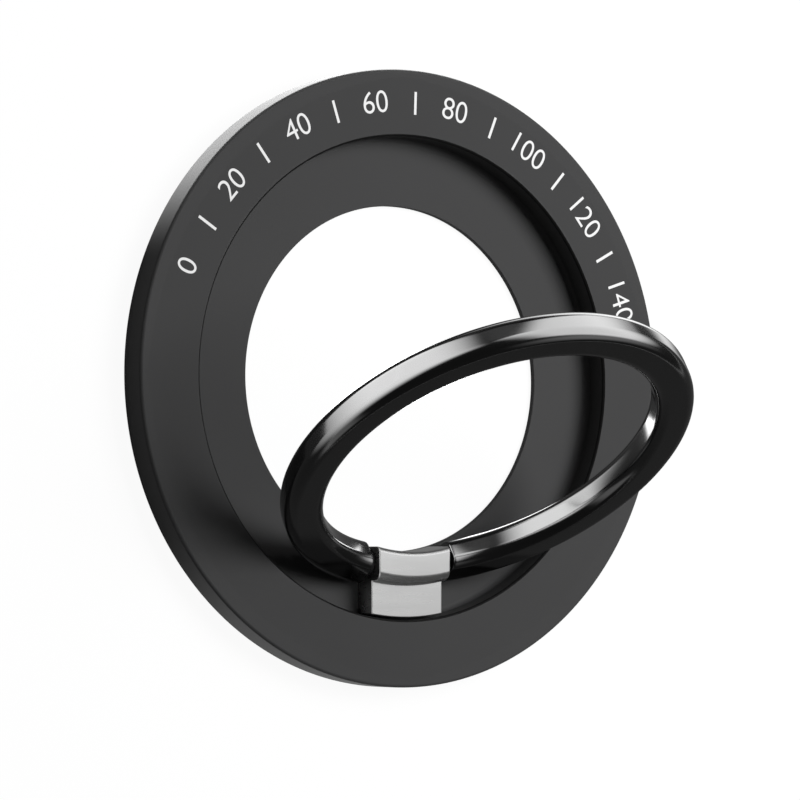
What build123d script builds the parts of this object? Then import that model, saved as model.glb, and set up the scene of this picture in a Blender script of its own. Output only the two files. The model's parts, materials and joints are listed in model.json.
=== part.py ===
from build123d import *
import os
from math import cos, degrees, radians, sin, sqrt

# Phone ring holder: a flat magnetic ring plate that clings to the back of a phone, and a finger
# ring that folds out of the recess in its front on a small pinned hinge.
# Millimetres. The origin is the centre of the back, on the plane that the grip pad rests on.
# +Z points out of the front, and the hinge is at the -Y side of the middle hole.

# Plate: one turned piece with a flange, a recess for the folded ring and a hole through the middle
plate_radius = 28.25
flange_width = 6.15
floor_width = 6.25
plate_height = 3.0
floor_thickness = 0.5
rim_round = 0.3
recess_edge_round = 0.25
recess_corner_round = 0.5
hole_edge_chamfer = 0.1
back_edge_chamfer = 0.2

# Magnets in a groove in the back of the flange, closed by the grip pad
rim_wall = 1.05
recess_wall = 0.9
magnet_thickness = 1.45
magnet_count = 16
magnet_gap = 0.3
magnet_clearance = 0.05
pad_thickness = 0.4
pad_proud = 0.1
pad_land = 0.5
pad_clearance = 0.06
pad_edge_chamfer = 0.1

# Hinge block: a low foot against the recess wall and a taller knuckle beside the middle hole
hinge_width = 7.7
knuckle_depth = 3.05
knuckle_rise = 1.1
knuckle_outer_round = 0.9
knuckle_inner_round = 0.45
foot_drop = 0.25
foot_clearance = 0.25
peg_radius = 0.8
peg_spacing = 4.4
peg_clearance = 0.02

# Hinge pin and its washers
pin_radius = 0.5
pin_inset = 0.9
pin_height = 1.6
pin_running_clearance = 0.04
pin_fit_clearance = 0.02
pin_end_cover = 0.9
pin_chamfer = 0.12
washer_radius = 1.25
washer_thickness = 0.48
washer_play = 0.07

# Finger ring, opened to the angle at which it stands
ring_angle = 55.0
ring_width = 3.58
ring_thickness = 3.0
ring_round = 1.0
ring_offset = 0.7
ring_end_round = 0.15
heel_clearance = 0.15

# Heights above the resting plane
back_height = pad_proud
floor_height = back_height + floor_thickness
front_height = back_height + plate_height
pad_seat_height = pad_thickness
groove_top = pad_seat_height + magnet_thickness + magnet_clearance

# Radii of the plate, its magnet groove and the pad
recess_radius = plate_radius - flange_width
hole_radius = recess_radius - floor_width
groove_inner = recess_radius + recess_wall
groove_outer = plate_radius - rim_wall
groove_middle = (groove_inner + groove_outer) / 2
seat_inner = groove_inner - pad_land
seat_outer = groove_outer + pad_land

# Hinge block radii
knuckle_outer = hole_radius + knuckle_depth
foot_outer = recess_radius - foot_clearance
peg_circle = (hole_radius + foot_outer) / 2

# Pin axis, along X
pin_offset = hole_radius + pin_inset
pin_level = floor_height + pin_height
ring_end = hinge_width / 2 + washer_play + washer_thickness

# Ring radii and its place: it lies about the plate's axis when folded, and turns about the pin
ring_middle = pin_offset + ring_offset
ring_inner = ring_middle - ring_width / 2
ring_outer = ring_middle + ring_width / 2
lean = radians(ring_angle)
ring_plane = Plane(
    origin=(0, pin_offset * cos(lean) - pin_offset, pin_offset * sin(lean) + pin_level),
    x_dir=(1, 0, 0),
    z_dir=(0, -sin(lean), cos(lean)),
)
pin_plane = Plane(
    origin=(0, -pin_offset, pin_level),
    x_dir=(0, cos(lean), sin(lean)),
    z_dir=(1, 0, 0),
)
heel_radius = pin_height - heel_clearance
pin_wall_reach = sqrt(ring_outer**2 - (pin_offset + pin_radius) ** 2)
pin_reach = pin_wall_reach - pin_end_cover


def circle_edges(part, radius, height):
    """The circular edges of a turned piece at one radius and one height."""
    return part.edges().filter_by(GeomType.CIRCLE).filter_by(
        lambda edge: abs(edge.radius - radius) < 1e-4 and abs(edge.arc_center.Z - height) < 1e-4
    )


def save(piece, name):
    """Label a finished piece and write it to its own file."""
    piece.part.label = name
    export_step(piece.part, f"parts/{name}.step")


os.makedirs("parts", exist_ok=True)

# Body: turned section with the flange, the thin floor, the magnet groove and the pad's seat
with BuildPart() as body:
    with BuildSketch(Plane.XZ):
        with BuildLine():
            Polyline(
                (hole_radius, back_height),
                (hole_radius, floor_height),
                (recess_radius, floor_height),
                (recess_radius, front_height),
                (plate_radius, front_height),
                (plate_radius, back_height),
                (seat_outer, back_height),
                (seat_outer, pad_seat_height),
                (groove_outer, pad_seat_height),
                (groove_outer, groove_top),
                (groove_inner, groove_top),
                (groove_inner, pad_seat_height),
                (seat_inner, pad_seat_height),
                (seat_inner, back_height),
                close=True,
            )
        make_face()
    revolve(axis=Axis.Z)
    fillet(circle_edges(body, plate_radius, front_height), rim_round)
    chamfer(circle_edges(body, plate_radius, back_height), back_edge_chamfer)
    fillet(circle_edges(body, recess_radius, front_height), recess_edge_round)
    fillet(circle_edges(body, recess_radius, floor_height), recess_corner_round)
    chamfer(circle_edges(body, hole_radius, floor_height), hole_edge_chamfer)
    with BuildSketch(Plane.XY.offset(back_height)):
        with Locations((0, -peg_circle)):
            with GridLocations(peg_spacing, 0, 2, 1):
                Circle(peg_radius + peg_clearance)
    extrude(amount=floor_thickness, mode=Mode.SUBTRACT)
save(body, "body")

# Magnets: equal arcs with a narrow gap between neighbours, lying on the pad
magnet_pitch = 360 / magnet_count
magnet_span = magnet_pitch - degrees(magnet_gap / groove_middle)
for index in range(magnet_count):
    start = 90 + index * magnet_pitch - magnet_span / 2
    with BuildPart() as magnet:
        with BuildSketch(Plane.XY.offset(pad_seat_height)):
            with BuildLine():
                outer = CenterArc((0, 0), groove_outer - magnet_clearance, start, magnet_span)
                inner = CenterArc((0, 0), groove_inner + magnet_clearance, start, magnet_span)
                Line(outer @ 0, inner @ 0)
                Line(outer @ 1, inner @ 1)
            make_face()
        extrude(amount=magnet_thickness)
    save(magnet, f"magnet_{index + 1:02d}")

# Grip pad: the soft flat ring that meets the phone
with BuildPart() as back_pad:
    with BuildSketch():
        Circle(seat_outer - pad_clearance)
        Circle(seat_inner + pad_clearance, mode=Mode.SUBTRACT)
    extrude(amount=pad_thickness)
    chamfer(back_pad.edges().group_by(Axis.Z)[0], pad_edge_chamfer)
save(back_pad, "back_pad")

# Hinge block: foot and knuckle in one piece, held by two pegs staked flush in the floor
with BuildPart() as hinge_block:
    with BuildSketch(Plane.XY.offset(floor_height)):
        Circle(foot_outer)
        Circle(hole_radius, mode=Mode.SUBTRACT)
        with Locations((0, -foot_outer)):
            Rectangle(hinge_width, 2 * foot_outer, mode=Mode.INTERSECT)
    extrude(amount=front_height - foot_drop - floor_height)
    with BuildSketch(Plane.XY.offset(floor_height)):
        Circle(knuckle_outer)
        Circle(hole_radius, mode=Mode.SUBTRACT)
        with Locations((0, -foot_outer)):
            Rectangle(hinge_width, 2 * foot_outer, mode=Mode.INTERSECT)
    extrude(amount=front_height + knuckle_rise - floor_height)
    chamfer(
        hinge_block.edges().group_by(Axis.Z)[0].sort_by(Axis.Y)[0],
        recess_corner_round,
    )
    knuckle_top = hinge_block.faces().sort_by(Axis.Z)[-1]
    fillet(knuckle_top.edges().sort_by(Axis.Y)[0], knuckle_outer_round)
    knuckle_top = hinge_block.faces().sort_by(Axis.Z)[-1]
    fillet(knuckle_top.edges().sort_by(Axis.Y)[-1], knuckle_inner_round)
    with BuildSketch(Plane.XY.offset(back_height)):
        with Locations((0, -peg_circle)):
            with GridLocations(peg_spacing, 0, 2, 1):
                Circle(peg_radius)
    extrude(amount=floor_thickness)
    with BuildSketch(pin_plane):
        Circle(pin_radius + pin_running_clearance)
    extrude(amount=hinge_width, both=True, mode=Mode.SUBTRACT)
save(hinge_block, "hinge_block")

# Finger ring: a rounded band, open at the hinge. Its heels are round about the pin at the back, so
# that they clear the floor, and flat at the front, where they stop the ring when it stands upright
section_plane = Plane(origin=ring_plane.origin, x_dir=ring_plane.x_dir, z_dir=ring_plane.y_dir)
with BuildPart() as finger_ring:
    with BuildSketch(section_plane):
        with Locations((ring_middle, 0)):
            RectangleRounded(ring_width, ring_thickness, ring_round)
    revolve(axis=Axis(ring_plane.origin, ring_plane.z_dir))
    with BuildSketch(ring_plane):
        with Locations((0, -ring_outer)):
            Rectangle(2 * ring_end, 2 * ring_outer)
    extrude(amount=ring_thickness, both=True, mode=Mode.SUBTRACT)
    fillet(finger_ring.faces().filter_by(Axis.X).edges(), ring_end_round)
    with BuildSketch(pin_plane):
        with Locations((-ring_width / 2, 0)):
            Rectangle(ring_width, 2 * ring_width)
        Circle(heel_radius, mode=Mode.SUBTRACT)
        with Locations((-heel_radius / 2, ring_width / 2)):
            Rectangle(heel_radius, ring_width, mode=Mode.SUBTRACT)
    extrude(amount=ring_middle, both=True, mode=Mode.SUBTRACT)
    with BuildSketch(pin_plane.offset(-pin_reach)):
        Circle(pin_radius + pin_fit_clearance)
    extrude(amount=ring_middle + pin_reach, mode=Mode.SUBTRACT)
save(finger_ring, "finger_ring")

# Hinge pin: slid in from one side, through the knuckle, into the blind hole in the far end
with BuildPart() as hinge_pin:
    with BuildSketch(pin_plane.offset(-pin_reach)):
        Circle(pin_radius)
    extrude(amount=pin_reach + pin_wall_reach)
    chamfer(hinge_pin.edges().filter_by(GeomType.CIRCLE), pin_chamfer)
save(hinge_pin, "hinge_pin")

# Friction washers between the knuckle and the ring's two ends
for side, name in ((-1, "left_washer"), (1, "right_washer")):
    with BuildPart() as washer:
        with BuildSketch(pin_plane.offset(side * (ring_end - washer_thickness / 2))):
            Circle(washer_radius)
            Circle(pin_radius + pin_fit_clearance, mode=Mode.SUBTRACT)
        extrude(amount=washer_thickness / 2, both=True)
    save(washer, name)
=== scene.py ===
"""Phone ring holder: the finish of its surfaces, the studio and the camera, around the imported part.

The part's frame: +Z out of the front, the hinge at -Y, the origin at the centre of the back.
Pieces are shaped in millimetres and put in place in metres.
"""
import json
import math

import bmesh
import bpy
from mathutils import Matrix, Vector

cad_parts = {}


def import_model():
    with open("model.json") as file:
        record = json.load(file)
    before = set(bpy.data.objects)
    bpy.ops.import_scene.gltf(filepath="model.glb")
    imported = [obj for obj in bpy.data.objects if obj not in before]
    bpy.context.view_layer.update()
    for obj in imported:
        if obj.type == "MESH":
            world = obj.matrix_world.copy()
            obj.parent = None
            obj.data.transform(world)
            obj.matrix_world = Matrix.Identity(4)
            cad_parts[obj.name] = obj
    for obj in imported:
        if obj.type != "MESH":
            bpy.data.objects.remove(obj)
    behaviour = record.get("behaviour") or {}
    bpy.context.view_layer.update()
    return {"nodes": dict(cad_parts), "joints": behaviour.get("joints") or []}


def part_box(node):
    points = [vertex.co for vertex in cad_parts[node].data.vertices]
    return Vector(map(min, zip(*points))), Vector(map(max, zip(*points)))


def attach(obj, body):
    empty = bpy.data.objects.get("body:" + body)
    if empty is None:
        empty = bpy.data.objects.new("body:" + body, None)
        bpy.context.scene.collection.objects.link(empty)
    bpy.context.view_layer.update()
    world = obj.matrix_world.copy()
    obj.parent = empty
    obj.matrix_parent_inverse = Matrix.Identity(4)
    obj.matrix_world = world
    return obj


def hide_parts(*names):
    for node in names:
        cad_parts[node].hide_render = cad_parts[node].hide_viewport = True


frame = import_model()

MM = 0.001
TO_METRES = Matrix.Scale(MM, 4)

# Plate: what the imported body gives, and its own widths
body_low, body_high = (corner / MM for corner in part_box("body"))
PLATE_RADIUS = body_high.x
BACK = body_low.z
FRONT = body_high.z
FLANGE_WIDTH = 6.15
FLOOR_WIDTH = 6.25
FLOOR_THICKNESS = 0.5
RIM_ROUND = 0.3
RECESS_EDGE_ROUND = 0.25
RECESS_CORNER_ROUND = 0.5
HOLE_EDGE_ROUND = 0.1
BACK_EDGE_ROUND = 0.2
# How far below the front the painted shade on the recess edge stops
EDGE_SHADE_DEPTH = 0.005
RECESS_RADIUS = PLATE_RADIUS - FLANGE_WIDTH
HOLE_RADIUS = RECESS_RADIUS - FLOOR_WIDTH
FLOOR = BACK + FLOOR_THICKNESS

# Magnet groove and grip pad
pad_low, pad_high = (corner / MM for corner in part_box("back_pad"))
RIM_WALL = 1.05
RECESS_WALL = 0.9
PAD_LAND = 0.5
PAD_CLEARANCE = 0.06
PAD_EDGE_ROUND = 0.1
MAGNET_ROOM = 1.5
GROOVE_TOP = pad_high.z + MAGNET_ROOM
GROOVE_INNER = RECESS_RADIUS + RECESS_WALL
GROOVE_OUTER = PLATE_RADIUS - RIM_WALL
SEAT_INNER = GROOVE_INNER - PAD_LAND
SEAT_OUTER = GROOVE_OUTER + PAD_LAND

# Hinge block and its pegs
block_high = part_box("hinge_block")[1] / MM
BLOCK_END = block_high.x
KNUCKLE_DEPTH = 3.05
KNUCKLE_OUTER_ROUND = 0.9
KNUCKLE_INNER_ROUND = 0.45
FOOT_DROP = 0.25
FOOT_CLEARANCE = 0.25
BLOCK_EDGE_ROUND = 0.08
FOOT_OUTER = RECESS_RADIUS - FOOT_CLEARANCE
PEG_RADIUS = 0.8
PEG_HOLE_RADIUS = 0.82
PEG_SPACING = 4.4
PEG_CIRCLE = (HOLE_RADIUS + FOOT_OUTER) / 2

# Finger ring, about the pin of the joint
flip = frame["joints"][0]
PIN = Vector(flip["pos_m"]) / MM
LEAN = math.radians(-flip["range_deg"][0])
RING_OFFSET = 0.7
RING_WIDTH = 3.58
RING_THICKNESS = 3.0
RING_ROUND = 1.0
RING_END_ROUND = 0.15
RING_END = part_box("right_washer")[1].x / MM
RING_MIDDLE = RING_OFFSET - PIN.y
HEEL_RADIUS = 1.45
PIN_HOLE_RADIUS = 0.52
PIN_BORE_RADIUS = 0.54
PIN_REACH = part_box("hinge_pin")[0].x / MM

# Fineness of the turned and swept pieces
PLATE_STEPS = 360
RING_STEPS = 300
BLOCK_STEPS = 48
PAD_STEPS = 240
ROUND_STEPS = 8
HEEL_STEPS = 24
ROD_STEPS = 64
BLOCK_EDGE_STEPS = 3
BLOCK_EDGE_ANGLE = math.radians(50)
RING_END_STEPS = 4
RING_END_ANGLE = math.radians(60)
MERGE_GAP = 0.001
SHARP_ANGLE = math.radians(35)


class Wire:
    """One output of a node. Sums and products of wires add the Math nodes that they need."""

    def __init__(self, graph, socket):
        self.graph = graph
        self.socket = socket

    def other(self, name):
        """Another output of the same node."""
        return Wire(self.graph, self.socket.node.outputs[name])

    def __add__(self, other):
        return self.graph.math("ADD", self, other)

    def __radd__(self, other):
        return self.graph.math("ADD", other, self)

    def __sub__(self, other):
        return self.graph.math("SUBTRACT", self, other)

    def __rsub__(self, other):
        return self.graph.math("SUBTRACT", other, self)

    def __mul__(self, other):
        return self.graph.math("MULTIPLY", self, other)

    def __rmul__(self, other):
        return self.graph.math("MULTIPLY", other, self)

    def __truediv__(self, other):
        return self.graph.math("DIVIDE", self, other)

    def __rtruediv__(self, other):
        return self.graph.math("DIVIDE", other, self)


class Graph:
    """A node tree, and the one method that adds nodes to it."""

    def __init__(self, tree):
        self.tree = tree

    def node(self, kind, settings=None, sockets=None, output=0):
        """Add a node: its settings first, then the value or wire of each socket named."""
        made = self.tree.nodes.new(kind)
        for name, value in (settings or {}).items():
            setattr(made, name, value)
        for name, value in (sockets or {}).items():
            if isinstance(value, Wire):
                self.tree.links.new(value.socket, made.inputs[name])
            else:
                made.inputs[name].default_value = value
        return Wire(self, made.outputs[output]) if made.outputs else None

    def math(self, operation, first, second=0.0):
        return self.node("ShaderNodeMath", {"operation": operation}, {0: first, 1: second})

    def blend(self, share, first, second):
        """A colour between two others."""
        settings = {"data_type": "RGBA"}
        return self.node("ShaderNodeMix", settings, {0: share, 6: first, 7: second}, output=2)


def grey(level):
    return (level, level, level, 1.0)


# Geometry Nodes


def new_tree(name, inputs):
    """A tree with a geometry input and the named inputs, and a wire for each of them."""
    tree = bpy.data.node_groups.new(name, "GeometryNodeTree")
    tree.interface.new_socket("Geometry", in_out="INPUT", socket_type="NodeSocketGeometry")
    for label, kind in inputs.items():
        tree.interface.new_socket(label, in_out="INPUT", socket_type="NodeSocket" + kind)
    tree.interface.new_socket("Geometry", in_out="OUTPUT", socket_type="NodeSocketGeometry")
    graph = Graph(tree)
    start = graph.node("NodeGroupInput")
    return graph, {label: start.other(label) for label in ("Geometry", *inputs)}


def end_tree(graph, geometry, material):
    real = graph.node("GeometryNodeRealizeInstances", None, {"Geometry": geometry})
    coated = graph.node("GeometryNodeSetMaterial", None, {"Geometry": real, "Material": material})
    graph.node("NodeGroupOutput", None, {"Geometry": coated})


def holder(mesh):
    """A passing object for a mesh that a modifier works on."""
    made = bpy.data.objects.new("holder", mesh)
    bpy.context.scene.collection.objects.link(made)
    return made


def result(made, *others):
    """The plain mesh that an object's modifiers give. The object goes, and so do its helpers."""
    evaluated = made.evaluated_get(bpy.context.evaluated_depsgraph_get())
    mesh = bpy.data.meshes.new_from_object(evaluated)
    for passing in (made, *others):
        bpy.data.objects.remove(passing)
    return mesh


def grow(mesh, graph, values):
    """Run a tree on a mesh, with a value for each of its named inputs."""
    made = holder(mesh)
    modifier = made.modifiers.new("shape", "NODES")
    modifier.node_group = graph.tree
    for item in graph.tree.interface.items_tree:
        if item.in_out == "INPUT" and item.name in values:
            modifier[item.identifier] = values[item.name]
    return result(made)


def sweep_tree():
    """Sweep a section round an axis: a closed turn, or a band between two parallel end planes.

    The band is centred on +Y, and its end planes lie at plus and minus End along X. Long Way makes
    it go round the far side of the axis, as a ring that is open at -Y does.
    """
    graph, given = new_tree("swept_section", {
        "Path Radius": "Float", "Path Steps": "Int", "Round Steps": "Int", "Closed": "Bool",
        "Long Way": "Bool", "End": "Float", "Material": "Material",
    })
    outline = graph.node("GeometryNodeMeshToCurve", None, {"Mesh": given["Geometry"]})
    rounding = graph.node("GeometryNodeInputNamedAttribute", {"data_type": "FLOAT"}, {"Name": "rounding"})
    section = graph.node("GeometryNodeFilletCurve", {"mode": "POLY"}, {
        "Curve": outline, "Count": given["Round Steps"], "Radius": rounding, "Limit Radius": True,
    })

    def half_turn(radius):
        """The angle from +Y at which a point of that radius meets the end plane."""
        near = graph.math("ARCSINE", given["End"] / radius)
        return graph.node("GeometryNodeSwitch", {"input_type": "FLOAT"}, {
            "Switch": given["Long Way"], "False": near, "True": math.pi - near,
        })

    path_half = half_turn(given["Path Radius"])
    arc = graph.node("GeometryNodeCurveArc", {"mode": "RADIUS"}, {
        "Resolution": given["Path Steps"], "Radius": given["Path Radius"],
        "Start Angle": math.pi / 2 - path_half, "Sweep Angle": 2 * path_half,
    })
    circle = graph.node("GeometryNodeCurvePrimitiveCircle", {"mode": "RADIUS"}, {
        "Resolution": given["Path Steps"], "Radius": given["Path Radius"],
    })
    path = graph.node("GeometryNodeSwitch", {"input_type": "GEOMETRY"}, {
        "Switch": given["Closed"], "False": arc, "True": circle,
    })
    swept = graph.node("GeometryNodeCurveToMesh", None, {
        "Curve": path, "Profile Curve": section, "Fill Caps": True,
    })
    place = graph.node("GeometryNodeInputPosition")
    x = graph.node("ShaderNodeSeparateXYZ", None, {"Vector": place})
    y = x.other("Y")
    radius = graph.math("SQRT", x * x + y * y)
    turn = graph.math("ARCTAN2", x, y) * half_turn(radius) / path_half
    trimmed = graph.node("ShaderNodeCombineXYZ", None, {
        "X": radius * graph.math("SINE", turn), "Y": radius * graph.math("COSINE", turn),
        "Z": x.other("Z"),
    })
    is_open = graph.node("FunctionNodeBooleanMath", {"operation": "NOT"}, {0: given["Closed"]})
    ended = graph.node("GeometryNodeSetPosition", None, {
        "Geometry": swept, "Selection": is_open, "Position": trimmed,
    })
    end_tree(graph, ended, given["Material"])
    return graph


def tick_tree():
    """A row of flat bars on an arc, each pointing at the axis."""
    graph, given = new_tree("tick_row", {
        "Radius": "Float", "Height": "Float", "Start": "Float", "Sweep": "Float", "Count": "Int",
        "Bar": "Vector", "Material": "Material",
    })
    arc = graph.node("GeometryNodeCurveArc", {"mode": "RADIUS"}, {
        "Resolution": given["Count"], "Radius": given["Radius"], "Start Angle": given["Start"],
        "Sweep Angle": given["Sweep"],
    })
    points = graph.node("GeometryNodeCurveToPoints", {"mode": "EVALUATED"}, {"Curve": arc})
    bar = graph.node("GeometryNodeMeshCube", None, {"Size": given["Bar"]})
    place = graph.node("GeometryNodeInputPosition")
    x = graph.node("ShaderNodeSeparateXYZ", None, {"Vector": place})
    turn = graph.node("ShaderNodeCombineXYZ", None, {"Z": graph.math("ARCTAN2", x.other("Y"), x)})
    lift = graph.node("ShaderNodeCombineXYZ", None, {"Z": given["Height"]})
    bars = graph.node("GeometryNodeInstanceOnPoints", None, {
        "Points": points, "Instance": bar,
        "Rotation": graph.node("FunctionNodeEulerToRotation", None, {"Euler": turn}),
    })
    raised = graph.node("GeometryNodeSetPosition", None, {"Geometry": bars, "Offset": lift})
    end_tree(graph, raised, given["Material"])
    return graph


# Mesh helpers, in millimetres


def outline(corners, path_radius):
    """A loop of edges through (radius, height, rounding) corners, beside a path of that radius."""
    mesh = bpy.data.meshes.new("outline")
    points = [(radius - path_radius, -height, 0.0) for radius, height, _ in corners]
    mesh.from_pydata(points, [(i, (i + 1) % len(points)) for i in range(len(points))], [])
    rounding = mesh.attributes.new("rounding", "FLOAT", "POINT")
    rounding.data.foreach_set("value", [corner[2] for corner in corners])
    return mesh


def edit(mesh, change):
    """Let a function work on a mesh's bmesh."""
    shape = bmesh.new()
    shape.from_mesh(mesh)
    change(shape)
    shape.to_mesh(mesh)
    shape.free()
    return mesh


def tidy(shape):
    """Merge doubles and turn the faces outwards."""
    bmesh.ops.remove_doubles(shape, verts=shape.verts, dist=MERGE_GAP)
    bmesh.ops.dissolve_degenerate(shape, edges=shape.edges, dist=MERGE_GAP)
    bmesh.ops.recalc_face_normals(shape, faces=shape.faces)


def soften(width, steps, angle):
    """Round every edge of a bmesh that is sharper than an angle."""
    def change(shape):
        sharp = [edge for edge in shape.edges if edge.calc_face_angle(0.0) > angle]
        bmesh.ops.bevel(
            shape, geom=sharp, offset=width, offset_type="OFFSET", segments=steps, profile=0.5,
            affect="EDGES", clamp_overlap=True,
        )
    return change


def rod(radius, start, end):
    """A round bar between two points."""
    mesh = bpy.data.meshes.new("rod")
    along = end - start
    middle = Matrix.Translation((start + end) / 2) @ along.to_track_quat("Z", "Y").to_matrix().to_4x4()

    def change(shape):
        bmesh.ops.create_cone(
            shape, cap_ends=True, segments=ROD_STEPS, radius1=radius, radius2=radius,
            depth=along.length, matrix=middle,
        )
    return edit(mesh, change)


def combine(mesh, tool, operation):
    """Cut a tool out of a mesh, or join it on."""
    made, other = holder(mesh), holder(tool)
    modifier = made.modifiers.new("cut", "BOOLEAN")
    modifier.operation = operation
    modifier.solver = "EXACT"
    modifier.object = other
    return result(made, other)


def smooth(mesh):
    """Smooth shading that keeps flat faces flat and real corners sharp."""
    mesh.shade_smooth()
    mesh.set_sharp_from_angle(angle=SHARP_ANGLE)
    made = holder(mesh)
    modifier = made.modifiers.new("normals", "WEIGHTED_NORMAL")
    modifier.keep_sharp = True
    return result(made)


def piece(name, mesh, body, stands_for=(), place=Matrix()):
    """A finished piece: into the part's frame, on its body, for the nodes that it stands for."""
    mesh.transform(TO_METRES @ place)
    mesh.name = name
    made = bpy.data.objects.new(name, mesh)
    bpy.context.scene.collection.objects.link(made)
    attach(made, body)
    if stands_for:
        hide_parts(*stands_for)
    return made


# Materials


def new_material(name):
    material = bpy.data.materials.new(name)
    material.use_nodes = True
    material.node_tree.nodes.clear()
    return material, Graph(material.node_tree)


def close_material(graph, sockets):
    shader = graph.node("ShaderNodeBsdfPrincipled", None, sockets)
    graph.node("ShaderNodeOutputMaterial", None, {"Surface": shader})


def speckle(graph, scale, detail, stretch=(1.0, 1.0, 1.0)):
    """Noise from 0 to 1 in the piece's own coordinates."""
    place = graph.node("ShaderNodeTexCoord", output="Object")
    drawn = graph.node("ShaderNodeMapping", None, {"Vector": place, "Scale": stretch})
    return graph.node("ShaderNodeTexNoise", None, {"Vector": drawn, "Scale": scale, "Detail": detail})


def bump(graph, height, depth, strength):
    return graph.node("ShaderNodeBump", None, {
        "Height": height, "Distance": depth, "Strength": strength,
    })


def anodised_black():
    """Bead-blasted and dyed aluminium: an even fine grain, with a faint drift of tone, and painted shade on
    the recess edge, whose rounding is painted near-black.
    """
    material, graph = new_material("anodised_black")
    grain = speckle(graph, 9000.0, 3.0)
    drift = speckle(graph, 90.0, 2.0)
    tone = 0.6 * drift + 0.4 * grain
    place = graph.node("ShaderNodeTexCoord", output="Object")
    x = graph.node("ShaderNodeSeparateXYZ", None, {"Vector": place})
    y, z = x.other("Y"), x.other("Z")
    radius = graph.math("SQRT", x * x + y * y)

    def between(value, low, high):
        return graph.math("GREATER_THAN", value, low * MM) * graph.math("LESS_THAN", value, high * MM)

    # Painted shade: a thin band on the rounding of the recess edge is painted near-black, standing in for the
    # shade that falls there
    beside = between(radius, RECESS_RADIUS - RECESS_EDGE_ROUND, RECESS_RADIUS + RECESS_EDGE_ROUND)
    edge = beside * between(z, FRONT - RECESS_EDGE_ROUND, FRONT - EDGE_SHADE_DEPTH)
    dyed = graph.blend(tone, (0.051, 0.051, 0.0515, 1), (0.061, 0.061, 0.0615, 1))
    close_material(graph, {
        # The base colour takes the near-black painted shade wherever that edge band lies
        "Base Color": graph.blend(edge, dyed, grey(0.008)),
        "Roughness": 0.36 + 0.1 * tone,
        "Specular IOR Level": 0.18,
        "Normal": bump(graph, grain, 0.000004, 0.2),
    })
    return material


def polished_black():
    """Black enamel on the polished ring: glossy, with a trace of orange peel and handling haze."""
    material, graph = new_material("ring_black")
    peel = speckle(graph, 900.0, 1.0)
    haze = speckle(graph, 160.0, 3.0)
    close_material(graph, {
        "Base Color": graph.blend(haze, (0.001, 0.001, 0.001, 1), (0.002, 0.002, 0.002, 1)),
        "Roughness": 0.1 + 0.05 * haze,
        "IOR": 1.6,
        "Normal": bump(graph, peel, 0.000004, 0.15),
    })
    return material


def satin_silver():
    """Satin nickel on the hinge block, with fine lines along its width."""
    material, graph = new_material("hinge_silver")
    lines = speckle(graph, 1500.0, 3.0, (0.08, 1.0, 1.0))
    drift = speckle(graph, 300.0, 2.0)
    close_material(graph, {
        "Base Color": graph.blend(drift, (0.64, 0.64, 0.64, 1), (0.71, 0.71, 0.705, 1)),
        "Metallic": 1.0,
        "Roughness": 0.24 + 0.08 * lines,
        "Normal": bump(graph, lines, 0.000004, 0.1),
    })
    return material


def turned_steel():
    """Drawn steel of the hinge pin."""
    material, graph = new_material("pin_steel")
    lines = speckle(graph, 2500.0, 3.0, (0.1, 1.0, 1.0))
    close_material(graph, {
        "Base Color": graph.blend(lines, (0.42, 0.42, 0.42, 1), (0.52, 0.52, 0.51, 1)),
        "Metallic": 1.0,
        "Roughness": 0.22 + 0.12 * lines,
        "Normal": bump(graph, lines, 0.000003, 0.3),
    })
    return material


def black_nylon():
    """Moulded nylon of the friction washers."""
    material, graph = new_material("washer_nylon")
    grain = speckle(graph, 6000.0, 3.0)
    close_material(graph, {
        "Base Color": graph.blend(grain, (0.006, 0.006, 0.006, 1), (0.012, 0.012, 0.012, 1)),
        "Roughness": 0.45 + 0.12 * grain,
        "Normal": bump(graph, grain, 0.000005, 0.4),
    })
    return material


def grip_silicone():
    """Soft silicone of the pad: matt, with a fine leathery grain."""
    material, graph = new_material("grip_pad")
    place = graph.node("ShaderNodeTexCoord", output="Object")
    cells = graph.node("ShaderNodeTexVoronoi", None, {"Vector": place, "Scale": 2600.0})
    drift = speckle(graph, 120.0, 3.0)
    close_material(graph, {
        "Base Color": graph.blend(drift, (0.018, 0.018, 0.019, 1), (0.03, 0.03, 0.031, 1)),
        "Roughness": 0.62 + 0.16 * cells,
        "Normal": bump(graph, cells, 0.00002, 0.5),
    })
    return material


def nickel_plate():
    """Bright nickel on the magnets."""
    material, graph = new_material("magnet_nickel")
    haze = speckle(graph, 700.0, 3.0)
    close_material(graph, {
        "Base Color": graph.blend(haze, (0.56, 0.54, 0.5, 1), (0.64, 0.62, 0.58, 1)),
        "Metallic": 1.0,
        "Roughness": 0.2 + 0.15 * haze,
    })
    return material


def white_print():
    """White pad-printed ink."""
    material, graph = new_material("white_print")
    grain = speckle(graph, 8000.0, 2.0)
    close_material(graph, {
        "Base Color": graph.blend(grain, (0.82, 0.82, 0.82, 1), (0.9, 0.9, 0.9, 1)),
        "Roughness": 0.45 + 0.1 * grain,
    })
    return material


# Pieces


def swept(tree, corners, material, steps, end=None, long_way=False):
    """A turned piece, or a band with two flat ends, from a section of (radius, height, rounding)."""
    path_radius = sum(corner[0] for corner in corners) / len(corners)
    mesh = grow(outline(corners, path_radius), tree, {
        "Path Radius": path_radius, "Path Steps": steps, "Round Steps": ROUND_STEPS,
        "Closed": end is None, "Long Way": long_way, "End": end or 0.0, "Material": material,
    })
    return edit(mesh, tidy)


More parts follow.
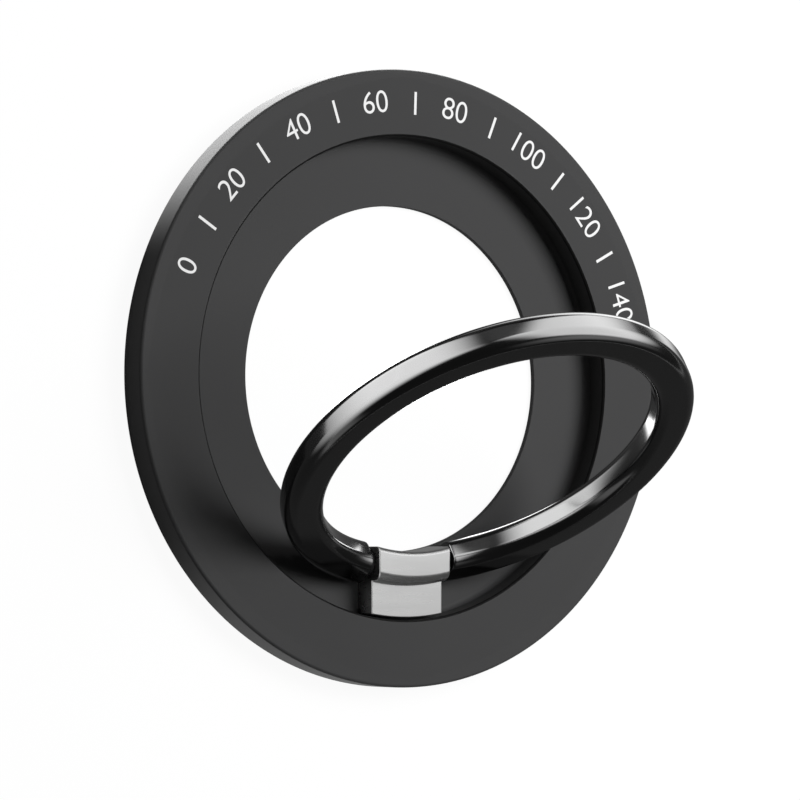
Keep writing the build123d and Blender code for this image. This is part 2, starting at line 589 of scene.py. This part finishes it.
def plate(tree, material):
    mesh = swept(tree, [
        (HOLE_RADIUS, BACK, 0.0),
        (HOLE_RADIUS, FLOOR, HOLE_EDGE_ROUND),
        (RECESS_RADIUS, FLOOR, RECESS_CORNER_ROUND),
        (RECESS_RADIUS, FRONT, RECESS_EDGE_ROUND),
        (PLATE_RADIUS, FRONT, RIM_ROUND),
        (PLATE_RADIUS, BACK, BACK_EDGE_ROUND),
        (SEAT_OUTER, BACK, 0.0),
        (SEAT_OUTER, pad_high.z, 0.0),
        (GROOVE_OUTER, pad_high.z, 0.0),
        (GROOVE_OUTER, GROOVE_TOP, 0.0),
        (GROOVE_INNER, GROOVE_TOP, 0.0),
        (GROOVE_INNER, pad_high.z, 0.0),
        (SEAT_INNER, pad_high.z, 0.0),
        (SEAT_INNER, BACK, 0.0),
    ], material, PLATE_STEPS)
    for side in (-1, 1):
        peg = Vector((side * PEG_SPACING / 2, -PEG_CIRCLE, 0.0))
        hole = rod(PEG_HOLE_RADIUS, peg, peg + Vector((0.0, 0.0, FLOOR + FLOOR_THICKNESS)))
        mesh = combine(mesh, hole, "DIFFERENCE")
    piece("plate_shell", smooth(mesh), "plate", ["body"])


def grip_pad(tree, material):
    inner, outer = SEAT_INNER + PAD_CLEARANCE, SEAT_OUTER - PAD_CLEARANCE
    mesh = swept(tree, [
        (inner, pad_low.z, PAD_EDGE_ROUND), (inner, pad_high.z, 0.0),
        (outer, pad_high.z, 0.0), (outer, pad_low.z, PAD_EDGE_ROUND),
    ], material, PAD_STEPS)
    piece("grip_ring", smooth(mesh), "plate", ["back_pad"])


def hinge_block(tree, material):
    foot_top = FRONT - FOOT_DROP
    knuckle = HOLE_RADIUS + KNUCKLE_DEPTH
    mesh = swept(tree, [
        (HOLE_RADIUS, FLOOR, 0.0),
        (FOOT_OUTER - RECESS_CORNER_ROUND, FLOOR, 0.0),
        (FOOT_OUTER, FLOOR + RECESS_CORNER_ROUND, 0.0),
        (FOOT_OUTER, foot_top, 0.0),
        (knuckle, foot_top, 0.0),
        (knuckle, block_high.z, KNUCKLE_OUTER_ROUND),
        (HOLE_RADIUS, block_high.z, KNUCKLE_INNER_ROUND),
    ], material, BLOCK_STEPS, end=BLOCK_END)
    mesh.transform(Matrix.Rotation(math.pi, 4, "Z"))
    edit(mesh, soften(BLOCK_EDGE_ROUND, BLOCK_EDGE_STEPS, BLOCK_EDGE_ANGLE))
    for side in (-1, 1):
        peg = Vector((side * PEG_SPACING / 2, -PEG_CIRCLE, BACK))
        stem = rod(PEG_RADIUS, peg, peg + Vector((0.0, 0.0, 2 * FLOOR_THICKNESS)))
        mesh = combine(mesh, stem, "UNION")
    across = Vector((2 * BLOCK_END, 0.0, 0.0))
    mesh = combine(mesh, rod(PIN_BORE_RADIUS, PIN - across, PIN + across), "DIFFERENCE")
    piece("hinge_knuckle", smooth(mesh), "plate", ["hinge_block"])


def heel_cutter():
    """What the ring's heels leave free below the pin: round about it at the back, flat in front."""
    profile = [(-RING_WIDTH, RING_WIDTH), (-HEEL_RADIUS, RING_WIDTH)]
    for step in range(HEEL_STEPS + 1):
        angle = math.pi / 2 * step / HEEL_STEPS
        profile.append((-HEEL_RADIUS * math.cos(angle), -HEEL_RADIUS * math.sin(angle)))
    profile += [(0.0, -RING_WIDTH), (-RING_WIDTH, -RING_WIDTH)]
    mesh = bpy.data.meshes.new("heel_cutter")

    def change(shape):
        corners = [shape.verts.new((-RING_MIDDLE, PIN.y + along, out)) for along, out in profile]
        side = bmesh.ops.extrude_face_region(shape, geom=[shape.faces.new(corners)])
        moved = [made for made in side["geom"] if isinstance(made, bmesh.types.BMVert)]
        bmesh.ops.translate(shape, verts=moved, vec=(2 * RING_MIDDLE, 0.0, 0.0))
        bmesh.ops.recalc_face_normals(shape, faces=shape.faces)
    return edit(mesh, change)


def finger_ring(tree, material):
    inner, outer = RING_MIDDLE - RING_WIDTH / 2, RING_MIDDLE + RING_WIDTH / 2
    half = RING_THICKNESS / 2
    mesh = swept(tree, [
        (inner, -half, RING_ROUND), (outer, -half, RING_ROUND),
        (outer, half, RING_ROUND), (inner, half, RING_ROUND),
    ], material, RING_STEPS, end=RING_END, long_way=True)
    edit(mesh, soften(RING_END_ROUND, RING_END_STEPS, RING_END_ANGLE))
    mesh = combine(mesh, heel_cutter(), "DIFFERENCE")
    pin = Vector((PIN_REACH, PIN.y, 0.0))
    mesh = combine(mesh, rod(PIN_HOLE_RADIUS, pin, pin + Vector((2 * RING_MIDDLE, 0.0, 0.0))), "DIFFERENCE")
    opened = Matrix.Translation(PIN) @ Matrix.Rotation(LEAN, 4, "X")
    about_pin = Matrix.Translation((0.0, -PIN.y, 0.0))
    piece("ring_band", smooth(mesh), "ring", ["finger_ring"], opened @ about_pin)


# Scale printed on the flange: numbers every 20 degrees, and a tick between two of them
PRINT_RADIUS = 25.2
PRINT_HEIGHT = 2.1
PRINT_THICKNESS = 0.03
PRINT_LIFT = 0.012
PRINT_START = 158.0
PRINT_STEP = 20.0
PRINT_COUNT = 8
CAP_SHARE = 0.72
STROKE_LOSS = 0.02
TICK_WIDTH = 0.26


def flange_scale(tree, material):
    level = FRONT + PRINT_LIFT - PRINT_THICKNESS / 2
    ticks = grow(bpy.data.meshes.new("ticks"), tree, {
        "Radius": PRINT_RADIUS, "Height": level, "Start": math.radians(PRINT_START - PRINT_STEP / 2),
        "Sweep": -math.radians((PRINT_COUNT - 2) * PRINT_STEP), "Count": PRINT_COUNT - 1,
        "Bar": (PRINT_HEIGHT, TICK_WIDTH, PRINT_THICKNESS), "Material": material,
    })
    piece("ticks", ticks, "plate")
    for index in range(PRINT_COUNT):
        angle = math.radians(PRINT_START - index * PRINT_STEP)
        letters = bpy.data.curves.new("number", "FONT")
        letters.body = str(int(index * PRINT_STEP))
        letters.align_x = "CENTER"
        letters.align_y = "CENTER"
        letters.size = PRINT_HEIGHT / CAP_SHARE
        letters.offset = -STROKE_LOSS
        letters.extrude = PRINT_THICKNESS / 2
        mesh = result(holder(letters))
        mesh.materials.clear()
        mesh.materials.append(material)
        turn = Matrix.Rotation(angle - math.pi / 2, 4, "Z")
        place = turn @ Matrix.Translation((0.0, PRINT_RADIUS, level))
        piece(f"number_{index}", mesh, "plate", place=place)


# Studio

CAMERA_PLACE = Vector((-227.797, -16.180, 344.785))
CAMERA_RIGHT = Vector((0.83307793, -0.00217875, 0.55315135))
CAMERA_UP = Vector((-0.01724301, 0.99940399, 0.02990541))
CAMERA_LENS = 202.5
CAMERA_SENSOR = 36.0
CAMERA_CLIP = (0.01, 20.0)

AMBIENT = 0.06
FLOOR_REACH = 3000.0
FLOOR_LEVEL = -0.02
FLOOR_TONE = 0.6
FLOOR_GLOW = 1.05
FLOOR_GLOW_SHARE = 0.9
ROOM_RADIUS = 900.0
ROOM_GLOW = 0.07
CARD_LEVEL = 0.04
CARD_STEPS = 64
EVEN_FADE = ((0.3, 0.3), (0.3, 0.3))
WIDE_FADE = ((0.4, 0.4), (0.4, 0.4))


def camera():
    data = bpy.data.cameras.new("camera")
    data.lens = CAMERA_LENS
    data.sensor_width = CAMERA_SENSOR
    data.clip_start, data.clip_end = CAMERA_CLIP
    made = bpy.data.objects.new("camera", data)
    bpy.context.scene.collection.objects.link(made)
    back = CAMERA_RIGHT.cross(CAMERA_UP)
    turn = Matrix((CAMERA_RIGHT, CAMERA_UP, back)).transposed().to_4x4()
    made.matrix_world = Matrix.Translation(CAMERA_PLACE * MM) @ turn
    bpy.context.scene.camera = made


def staged(mesh, only_reflected):
    """Put a piece of the studio into the scene, to be seen by all or in reflections only."""
    made = bpy.data.objects.new(mesh.name, mesh)
    bpy.context.scene.collection.objects.link(made)
    if only_reflected:
        made.visible_camera = False
        made.visible_diffuse = False
        made.visible_shadow = False
        made.visible_transmission = False


def glow(name, strength):
    material, graph = new_material(name)
    light = graph.node("ShaderNodeEmission", None, {"Strength": strength})
    graph.node("ShaderNodeOutputMaterial", None, {"Surface": light})
    return material


def seen_directly(graph):
    """1 for rays of the camera, of reflections and through glass, and 0 for the rest."""
    path = graph.node("ShaderNodeLightPath", output="Is Camera Ray")
    seen = graph.math("MAXIMUM", path, path.other("Is Glossy Ray"))
    return graph.math("MAXIMUM", seen, path.other("Is Transmission Ray"))


def white_floor():
    """Pale floor that looks white, takes a faint shadow and is clear from below."""
    material, graph = new_material("floor_white")
    matt = graph.node("ShaderNodeBsdfDiffuse", None, {"Color": grey(FLOOR_TONE)})
    light = graph.node("ShaderNodeEmission", None, {"Strength": FLOOR_GLOW})
    share = FLOOR_GLOW_SHARE * seen_directly(graph)
    mixed = graph.node("ShaderNodeMixShader", None, {0: share, 1: matt, 2: light})
    below = graph.node("ShaderNodeNewGeometry", output="Backfacing")
    clear = graph.node("ShaderNodeBsdfTransparent")
    sided = graph.node("ShaderNodeMixShader", None, {0: below, 1: mixed, 2: clear})
    graph.node("ShaderNodeOutputMaterial", None, {"Surface": sided})
    return material


def world():
    made = bpy.data.worlds.new("studio")
    made.use_nodes = True
    made.node_tree.nodes.clear()
    graph = Graph(made.node_tree)
    strength = AMBIENT + (1.0 - AMBIENT) * seen_directly(graph)
    sky = graph.node("ShaderNodeBackground", None, {"Strength": strength})
    graph.node("ShaderNodeOutputWorld", None, {"Surface": sky})
    bpy.context.scene.world = made


def lamp(name, place, across, up, size, power):
    """An area lamp, given by its middle and the directions of its two sides, in millimetres."""
    data = bpy.data.lights.new(name, "AREA")
    data.shape = "RECTANGLE"
    data.size, data.size_y = (side * MM for side in size)
    data.energy = power
    made = bpy.data.objects.new(name, data)
    bpy.context.scene.collection.objects.link(made)
    across, up = Vector(across).normalized(), Vector(up).normalized()
    turn = Matrix((across, up, across.cross(up))).transposed().to_4x4()
    made.matrix_world = Matrix.Translation(Vector(place) * MM) @ turn
    made.visible_camera = False
    return made


def softbox(name, lit, place, across, up, size, level, fades):
    """A lamp that one piece mirrors: even in the middle, fading over a share of its size at each side."""
    area = size[0] * size[1] * MM * MM
    made = lamp(name, place, across, up, size, level * math.pi * area)
    made.visible_diffuse = False
    made.visible_transmission = False
    receivers = bpy.data.collections.new(name + "_lights")
    receivers.objects.link(bpy.data.objects[lit])
    made.light_linking.receiver_collection = receivers
    made.data.use_nodes = True
    made.data.node_tree.nodes.clear()
    graph = Graph(made.data.node_tree)
    place = graph.node("ShaderNodeTexCoord", output="UV")
    along = graph.node("ShaderNodeSeparateXYZ", None, {"Vector": place})

    def fade(inwards, share):
        return graph.node("ShaderNodeMapRange", {"interpolation_type": "SMOOTHSTEP"}, {
            "Value": inwards, "From Max": share,
        })

    shade = 1.0
    for way, (start, end) in zip((along, along.other("Y")), fades):
        shade = shade * fade(way, start) * fade(1.0 - way, end)
    light = graph.node("ShaderNodeEmission", None, {"Color": shade})
    graph.node("ShaderNodeOutputLight", None, {"Surface": light})


def floor():
    mesh = bpy.data.meshes.new("floor")
    corners = [Vector((x, y, 0.0)) for x, y in ((-1, -1), (1, -1), (1, 1), (-1, 1))]
    lowered = Vector((0.0, 0.0, FLOOR_LEVEL))
    mesh.from_pydata([(corner * FLOOR_REACH + lowered) * MM for corner in corners], [], [range(len(corners))])
    mesh.materials.append(white_floor())
    staged(mesh, only_reflected=False)


def dark_room():
    """The dim studio round the object, which only reflections show."""
    mesh = bpy.data.meshes.new("room")

    def change(shape):
        bmesh.ops.create_icosphere(shape, subdivisions=3, radius=ROOM_RADIUS * MM)
    edit(mesh, change)
    mesh.materials.append(glow("room", ROOM_GLOW))
    staged(mesh, only_reflected=True)


def floor_card(name, inner, outer, strength):
    """A dim flat ring on the floor, which only reflections show."""
    mesh = bpy.data.meshes.new(name)
    places = []
    for radius in (inner, outer):
        for step in range(CARD_STEPS):
            turn = 2 * math.pi * step / CARD_STEPS
            place = Vector((radius * math.cos(turn), radius * math.sin(turn), CARD_LEVEL))
            places.append(place * MM)
    faces = []
    for step in range(CARD_STEPS):
        after = (step + 1) % CARD_STEPS
        faces.append((step, after, CARD_STEPS + after, CARD_STEPS + step))
    mesh.from_pydata(places, [], faces)
    mesh.materials.append(glow(name, strength))
    staged(mesh, only_reflected=True)


def ring_lights():
    """What the ring mirrors: a tall light at its left, a wide one behind it, and some on the floor."""
    softbox("left_softbox", "ring_band", (-40, 39.2, 30.8), (0, 0.69, 0.724), (0, 0.724, -0.69),
            (123, 100), 12.0, ((0.27, 0.57), (0.27, 0.27)))
    softbox("inner_softbox", "ring_band", (-2.5, 1, 5), (1, 0, 0), (0, -1, 0),
            (23, 16), 9.5, ((0.17, 0.17), (0.22, 0.22)))
    softbox("gap_fill", "ring_band", (-38, 183, 108), (0.978, 0.208, 0), (-0.0813, 0.3821, -0.9204),
            (110, 110), 0.55, WIDE_FADE)
    softbox("line_softbox", "ring_band", (10.8, -9.1, 0.1), (0.707, 0.707, 0), (0.707, -0.707, 0),
            (10, 4), 9.0, ((0.1, 0.1), (0.2, 0.2)))
    softbox("back_softbox", "ring_band", (146.9, 51.2, 244.9), (0.3748, -0.7769, 0.5059),
            (0.7631, -0.0514, -0.6443), (555, 520), 9.5, ((0.075, 0.34), (0.32, 0.32)))
    softbox("floor_softbox", "ring_band", (74.6, 106.5, 0.3), (0.574, 0.819, 0), (0.819, -0.574, 0),
            (200, 130), 6.0, ((0.2, 0.2), (0.35, 0.35)))
    softbox("left_fill", "ring_band", (-96, -115, 31), (0.766, -0.643, 0), (-0.056, -0.067, 0.996),
            (200, 70), 1.2, ((0.3, 0.3), (0.35, 0.35)))
    softbox("right_fill", "ring_band", (117, -91.5, 150), (0.6157, 0.788, 0), (-0.527, 0.412, 0.743),
            (220, 210), 1.6, WIDE_FADE)


def hinge_lights():
    """What the hinge block mirrors, on each side of it."""
    softbox("hinge_softbox", "hinge_knuckle", (135.9, 72.3, 197), (-0.469, 0.883, 0),
            (-0.696, -0.370, 0.6155), (300, 280), 1.25, EVEN_FADE)
    softbox("hinge_front_softbox", "hinge_knuckle", (-51, 122, 137), (0.940, 0.342, 0),
            (-0.229, 0.629, -0.743), (320, 260), 0.8, EVEN_FADE)
    softbox("hinge_left_softbox", "hinge_knuckle", (-146, -44, 137), (-0.174, 0.985, 0),
            (-0.659, -0.116, -0.743), (300, 260), 0.8, EVEN_FADE)
    softbox("hinge_back_softbox", "hinge_knuckle", (-38, -162, 137), (-0.966, 0.259, 0),
            (-0.173, -0.646, -0.743), (240, 260), 0.8, EVEN_FADE)


def rim_lights():
    """What the plate's rim mirrors, low beside it."""
    softbox("rim_softbox", "plate_shell", (-5.1, 25.2, 0.06), (-0.906, -0.423, 0), (-0.423, 0.906, 0),
            (52, 22), 4.6, ((0.18, 0.18), (0.05, 0.05)))
    softbox("low_rim_softbox", "plate_shell", (-7.0, -24.4, 0.06), (0.906, -0.423, 0), (-0.423, -0.906, 0),
            (44, 22), 0.55, ((0.3, 0.3), (0.05, 0.05)))


def studio():
    floor()
    floor_card("floor_card", 27.0, 450.0, 0.12)
    floor_card("hole_card", 0.1, 20.0, 0.2)
    dark_room()
    ring_lights()
    hinge_lights()
    rim_lights()
    key = lamp("key", (138, 73, 248), (-0.468, 0.884, 0), (-0.748, -0.396, 0.533), (180, 180), 1.12)
    key.visible_glossy = False
    world()


sweep = sweep_tree()
plate(sweep, anodised_black())
grip_pad(sweep, grip_silicone())
hinge_block(sweep, satin_silver())
finger_ring(sweep, polished_black())
flange_scale(tick_tree(), white_print())

steel, nylon, nickel = turned_steel(), black_nylon(), nickel_plate()
coats = {"hinge_pin": steel, "left_washer": nylon, "right_washer": nylon}
for name, node in frame["nodes"].items():
    coat = nickel if name.startswith("magnet") else coats.get(name)
    if coat:
        node.data.materials.clear()
        node.data.materials.append(coat)

camera()
studio()
bpy.context.scene.view_settings.view_transform = "Standard"
